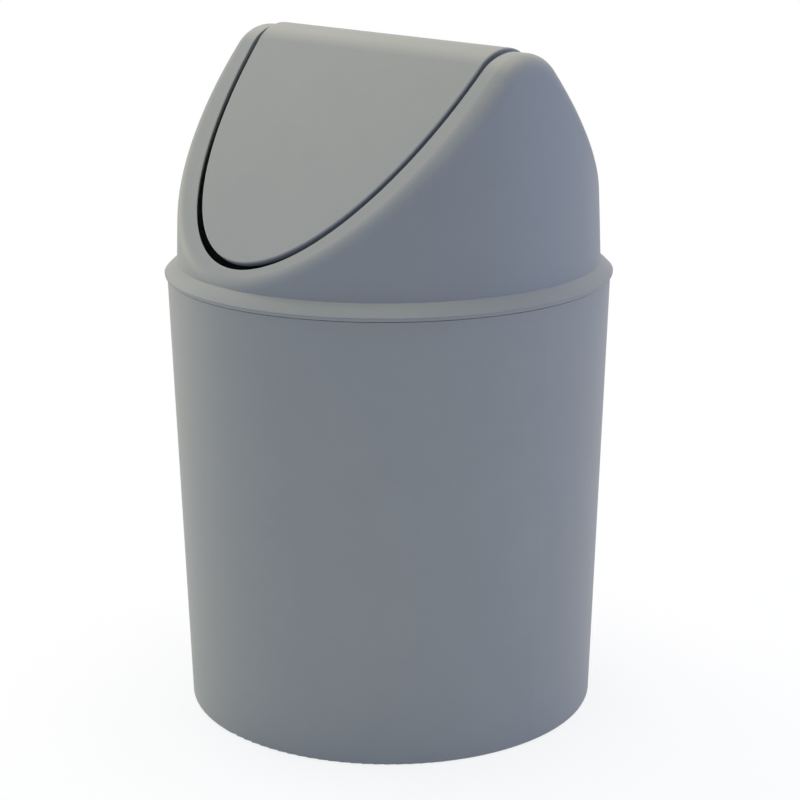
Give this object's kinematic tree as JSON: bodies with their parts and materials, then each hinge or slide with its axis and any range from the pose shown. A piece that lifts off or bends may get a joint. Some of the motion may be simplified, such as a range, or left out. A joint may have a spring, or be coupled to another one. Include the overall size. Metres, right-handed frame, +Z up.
{
  "type": "swing-lid bin",
  "caption": "Small tapered round bin with a lift-off domed hood and a saddle-shaped lid that swings both ways on two pins.",
  "frame": {"origin": "centre of the circle that the bucket stands on", "axes": "+Z up, X along the lid's pivot axis, -Y to the front; the front and back are alike"},
  "size_m": [0.203, 0.203, 0.3082],
  "materials": {
    "bucket_plastic": "fine matte texture",
    "hood_plastic": "fine matte texture",
    "flap_plastic": "fine matte texture",
    "pin_plastic": "as moulded"
  },
  "bodies": {
    "bucket": {"bucket": "bucket_plastic"},
    "hood": {"hood": "hood_plastic"},
    "flap": {"flap": "flap_plastic", "left_pivot_pin": "pin_plastic", "right_pivot_pin": "pin_plastic"}
  },
  "joints": [
    {"name": "hood_lift", "type": "slide", "parent": "bucket", "child": "hood", "axis": [0, 0, 1], "range_m": [0, 0.08]},
    {"name": "flap_swing", "type": "hinge", "parent": "hood", "child": "flap", "pos_m": [0, 0, 0.28966], "axis": [1, 0, 0], "range_deg": [-70, 70]}
  ]
}
